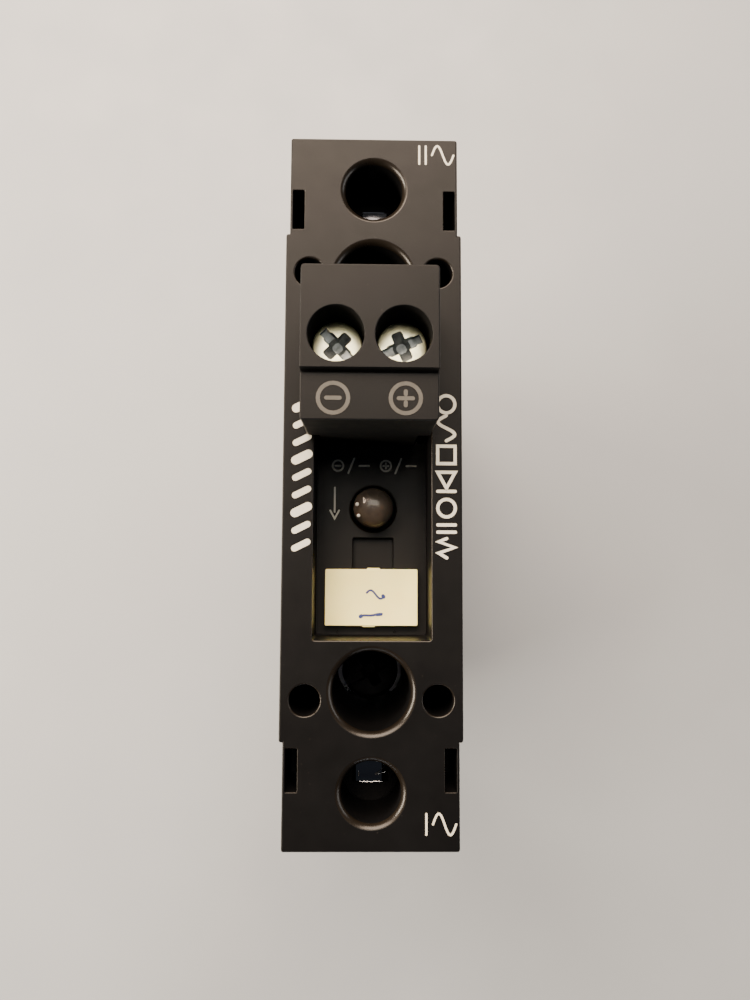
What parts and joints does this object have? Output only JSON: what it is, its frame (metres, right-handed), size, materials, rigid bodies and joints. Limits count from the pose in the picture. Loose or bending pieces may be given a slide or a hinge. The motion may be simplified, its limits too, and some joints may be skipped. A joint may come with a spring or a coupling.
{
  "type": "solid state relay",
  "caption": "Slim solid state relay for a 35 mm rail: heat sink, black front housing, screw terminals, pluggable control connector, status lamp and marker tag.",
  "frame": {"origin": "centre of the bounding box's base, under the rail foot, on the plane that both hooks stand on", "axes": "+X across the 22.5 mm width, +Y along the height towards the end with the control plug, +Z from the rail to the front face"},
  "size_m": [0.0226, 0.0896, 0.1096],
  "materials": {
    "housing": "moulded black plastic, fine satin texture",
    "inner_moulding": "moulded dark grey plastic",
    "foot": "glass-filled black plastic, matte",
    "heat_sink": "black anodised extrusion, satin",
    "spring_steel": "drawn spring wire",
    "zinc_screw": "zinc plated and passivated, pale yellowish",
    "plated_steel": "zinc plated, satin",
    "tinned_copper": "tin plated, satin",
    "copper": "bare copper, satin",
    "brass": "stamped brass",
    "ceramic": "white alumina",
    "silicon": "dark grey, glossy",
    "thermal_pad": "soft grey pad",
    "board": "green solder resist",
    "component": "moulded black",
    "varistor": "dipped blue coating",
    "led_package": "white package",
    "lens": "smoky clear, polished",
    "marker": "cream white plastic, matte",
    "label": "blank metallised film, satin"
  },
  "bodies": {
    "relay": {"rail_foot": "foot", "foot_screw_1": "zinc_screw", "foot_screw_2": "zinc_screw", "heat_sink": "heat_sink", "latch_spring": "spring_steel", "insulating_tray": "inner_moulding", "front_housing": "housing", "side_label": "label", "housing_screw_1": "zinc_screw", "housing_screw_2": "zinc_screw", "housing_screw_3": "zinc_screw", "housing_screw_4": "zinc_screw", "thermal_pad": "thermal_pad", "base_plate": "copper", "ceramic_substrate": "ceramic", "scr_chip_1": "silicon", "scr_chip_2": "silicon", "gate_pin_1": "tinned_copper", "gate_pin_2": "tinned_copper", "load_busbar_1": "tinned_copper", "load_busbar_2": "tinned_copper", "control_board": "board", "optocoupler": "component", "input_resistor": "component", "varistor": "varistor", "status_led": "led_package", "led_lens": "lens", "control_header": "component", "header_pin_1": "tinned_copper", "header_pin_2": "tinned_copper"},
    "rail_latch": {"rail_latch": "inner_moulding"},
    "control_plug": {"plug_housing": "housing", "plug_contact_1": "brass", "plug_contact_2": "brass"},
    "plug_screw_1": {"plug_screw_1": "zinc_screw"},
    "plug_screw_2": {"plug_screw_2": "zinc_screw"},
    "plug_yoke_1": {"plug_yoke_1": "plated_steel"},
    "plug_yoke_2": {"plug_yoke_2": "plated_steel"},
    "load_screw_1": {"load_screw_1": "zinc_screw"},
    "load_screw_2": {"load_screw_2": "zinc_screw"},
    "load_cage_1": {"load_cage_1": "plated_steel"},
    "load_cage_2": {"load_cage_2": "plated_steel"},
    "marker_tag": {"marker_tag": "marker"}
  },
  "joints": [
    {"name": "rail_latch_slide", "type": "slide", "parent": "relay", "child": "rail_latch", "axis": [0, 1, 0], "range_m": [0, 0.004], "stiffness_N_per_m": 600, "springref_m": -0.004, "deforming": ["latch_spring"]},
    {"name": "control_plug_pull", "type": "slide", "parent": "relay", "child": "control_plug", "axis": [0, 0, 1], "range_m": [0, 0.02]},
    {"name": "marker_tag_pull", "type": "slide", "parent": "relay", "child": "marker_tag", "axis": [0, 0, 1], "range_m": [0, 0.009]},
    {"name": "plug_screw_1_turn", "type": "hinge", "parent": "control_plug", "child": "plug_screw_1", "pos_m": [-0.00431, 0.01533, 0.1024], "axis": [0, 0, 1], "range_deg": [-2304, 0]},
    {"name": "plug_yoke_1_lift", "type": "slide", "parent": "control_plug", "child": "plug_yoke_1", "axis": [0, 0, 1], "range_m": [0, 0.0032]},
    {"name": "plug_screw_2_turn", "type": "hinge", "parent": "control_plug", "child": "plug_screw_2", "pos_m": [0.00331, 0.01533, 0.1024], "axis": [0, 0, 1], "range_deg": [-2304, 0]},
    {"name": "plug_yoke_2_lift", "type": "slide", "parent": "control_plug", "child": "plug_yoke_2", "axis": [0, 0, 1], "range_m": [0, 0.0032]},
    {"name": "load_screw_1_turn", "type": "hinge", "parent": "relay", "child": "load_screw_1", "pos_m": [0, -0.02587, 0.0762], "axis": [0, 0, 1], "range_deg": [-2160, 0]},
    {"name": "load_cage_1_lift", "type": "slide", "parent": "relay", "child": "load_cage_1", "axis": [0, 0, 1], "range_m": [0, 0.0048]},
    {"name": "load_screw_2_turn", "type": "hinge", "parent": "relay", "child": "load_screw_2", "pos_m": [0, 0.02587, 0.0762], "axis": [0, 0, 1], "range_deg": [-2160, 0]},
    {"name": "load_cage_2_lift", "type": "slide", "parent": "relay", "child": "load_cage_2", "axis": [0, 0, 1], "range_m": [0, 0.0048]}
  ],
  "couplings": [
    {"joint": "plug_screw_1_turn", "follows": "plug_yoke_1_lift", "rad_per_m": -12566},
    {"joint": "plug_screw_2_turn", "follows": "plug_yoke_2_lift", "rad_per_m": -12566},
    {"joint": "load_screw_1_turn", "follows": "load_cage_1_lift", "rad_per_m": -7854},
    {"joint": "load_screw_2_turn", "follows": "load_cage_2_lift", "rad_per_m": -7854}
  ]
}
